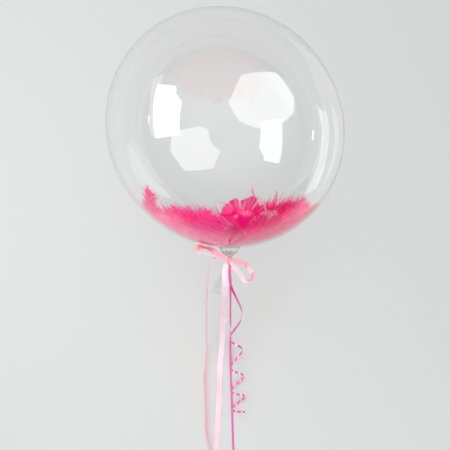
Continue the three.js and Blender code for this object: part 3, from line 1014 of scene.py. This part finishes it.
# A panel seen only as a reflection in the film and ribbons, all over or as shareOn gives it.
def makeMirrored(name, corners, strength, shareOn=None):
    material = bpy.data.materials.new(name)
    material.use_nodes = True
    tree = material.node_tree
    tree.nodes.remove(tree.nodes['Principled BSDF'])
    paths = addNode(tree, 'ShaderNodeLightPath')
    share = maths(tree, 'GREATER_THAN', paths.outputs['Glossy Depth'], 0.5)
    if shareOn:
        share = maths(tree, 'MULTIPLY', share, shareOn(tree))
    shine = addNode(tree, 'ShaderNodeEmission', {'Strength': strength, 'Color': (1, 1, 1, 1)})
    through = addNode(tree, 'ShaderNodeBsdfTransparent')
    makeSurface(tree, mixShaders(tree, share, through.outputs[0], shine.outputs[0]))
    material.cycles.emission_sampling = 'NONE'
    panel = newObject(name, corners, [tuple(range(len(corners)))], [material])
    panel.visible_camera = False
    panel.visible_diffuse = False
    panel.visible_shadow = False


# The dark fades in above its lower edge and out below its upper one.
def darkShare(tree):
    height = coordinateOf(tree, placeOn(tree), 'Z')
    fadeIn = spreadOut(tree, height, 0.0, 0.16, 0.0, 0.95, 'SMOOTHSTEP')
    fadeOut = spreadOut(tree, height, 0.42, 0.8, 1.0, 0.0, 'SMOOTHSTEP')
    return maths(tree, 'MULTIPLY', fadeIn, fadeOut)


# Corners of a soft box that stands square to the line from the ball's centre, from places on its face.
def facingBall(direction, distance, corners):
    direction = Vector(direction).normalized()
    level = upwards.cross(direction).normalized()
    rise = direction.cross(level)
    centre = film['centre'] + direction * distance
    return [centre + level * u + rise * v for u, v in corners]


makeFloor()

# the studio is dark past the near end of its floor, which only the film mirrors
darkCorners = [(1.6, -0.6, 0.004), (-1.6, -0.6, 0.004), (-1.6, -2.5, 0.8), (1.6, -2.5, 0.8)]
makeMirrored('dark_end', darkCorners, 0.0, darkShare)

# two soft boxes, two window panes, a far lamp, and the lit floor beside the ball
octagonCorners = [(0.55, 0.14), (0.22, -0.53), (-0.30, -0.55), (-0.52, -0.35),
                  (-0.59, 0.02), (-0.46, 0.60), (-0.14, 0.90), (0.31, 0.83)]
stripCorners = [(-0.34, -0.23), (0.28, -0.14), (0.75, -0.09), (0.62, 0.63),
                (0.16, 0.57), (-0.15, 0.54), (-0.29, 0.32), (-0.43, 0.25)]
makeMirrored('lamp_octagon', facingBall((0.576, 0.42, 0.703), 1.3, octagonCorners), 3.3)
makeMirrored('lamp_strip', facingBall((-0.827, 0.246, 0.504), 1.5, stripCorners), 5.0)
rightPanel = [(0.17, 0.353), (-0.17, 0.31), (-0.42, 0.235), (-0.577, 0.155),
              (-0.425, 0.03), (-0.28, 0.107), (-0.16, 0.18), (0.13, 0.21)]
leftPanel = [(-0.13, 0.25), (-0.22, 0.19), (-0.33, 0.11), (-0.49, 0.07), (-0.91, 0.30),
             (-0.68, 0.385), (-0.485, 0.38), (-0.29, 0.37), (-0.18, 0.335)]
lowPanel = [(0.75, 0.2), (0.62, 0.14), (0.57, 0.03), (0.56, -0.17), (0.55, -0.31),
            (0.47, -0.36), (0.67, -0.25), (0.68, -0.13), (0.71, 0), (0.745, 0.1)]
sparkPanel = [(-0.25, 0.37), (0.02, 0.37), (0.02, 0.445), (-0.25, 0.445)]
rimPanel = [(0.4, -0.7), (1.3, -0.7), (1.3, 0.6), (0.4, 0.6)]
makeMirrored('lamp_right', [(0.7, y, z) for y, z in rightPanel], 1.7)
makeMirrored('lamp_left', [(-0.7, y, z) for y, z in leftPanel], 1.0)
makeMirrored('lamp_spark', [(2.5, y, z) for y, z in sparkPanel], 7)
makeMirrored('lamp_rim', [(x, y, 0.012) for x, y in rimPanel], 0.84)
makeMirrored('lamp_low', [(x, y, 0.02) for x, y in lowPanel], 1.1)

# brighter overhead than along the horizon
world = bpy.data.worlds.new('studio')
world.use_nodes = True
skyTree = world.node_tree
direction = addNode(skyTree, 'ShaderNodeTexCoord').outputs['Generated']
brightness = spreadOut(skyTree, coordinateOf(skyTree, direction, 'Z'), 0.2, 1.0, 0.42, 0.98, 'SMOOTHSTEP')
sky = skyTree.nodes['Background']
sky.inputs['Color'].default_value = (0.92, 0.935, 0.94, 1)
skyTree.links.new(brightness, sky.inputs['Strength'])
scene.world = world


def makeLamp(name, place, target, size, power):
    data = bpy.data.lights.new(name, 'AREA')
    data.shape = 'DISK'
    data.size = size
    data.energy = power
    lamp = bpy.data.objects.new(name, data)
    lamp.location = place
    lamp.rotation_euler = (Vector(place) - Vector(target)).to_track_quat('Z', 'Y').to_euler()
    lamp.visible_glossy = False
    lamp.visible_camera = False
    lamp.visible_transmission = False
    scene.collection.objects.link(lamp)
    return lamp


def collectionOf(name, pieces):
    collection = bpy.data.collections.new(name)
    scene.collection.children.link(collection)
    for piece in pieces:
        collection.objects.link(piece)
    return collection


# only the bow and the curling ribbon stand in the way of the two soft lamps
shading = collectionOf('shading', (string, curledEnd, bow, tie))
for lamp in (makeLamp('left', (-0.7, -0.1, 1.3), (-0.1, 0.1, 0), 1.4, 5.6),
             makeLamp('low', (0.3, -2.0, 1.0), (0, -0.4, 0.15), 1.4, 5)):
    lamp.light_linking.blocker_collection = shading

# a soft lamp lifts the satin alone
satinLamp = makeLamp('satin_light', (-0.1, -0.6, 1.3), (0, -0.55, 0.15), 0.9, 2)
satinLamp.light_linking.receiver_collection = collectionOf('satin_pieces', (bow, *satinTails))

# two lamps put a shine on the curling ribbon alone
glossy = collectionOf('glossy_ribbon', (string, curledEnd))
for name, x in (('shine_left', -1.25), ('shine_right', 1.25)):
    shine = makeLamp(name, (x, -0.55, 0.95), (0, -0.55, 0.1), 2.8, 34)
    shine.data.shape = 'RECTANGLE'
    shine.data.size_y = 0.8
    shine.visible_glossy = True
    shine.visible_diffuse = False
    shine.light_linking.receiver_collection = glossy
print('floor and light made')
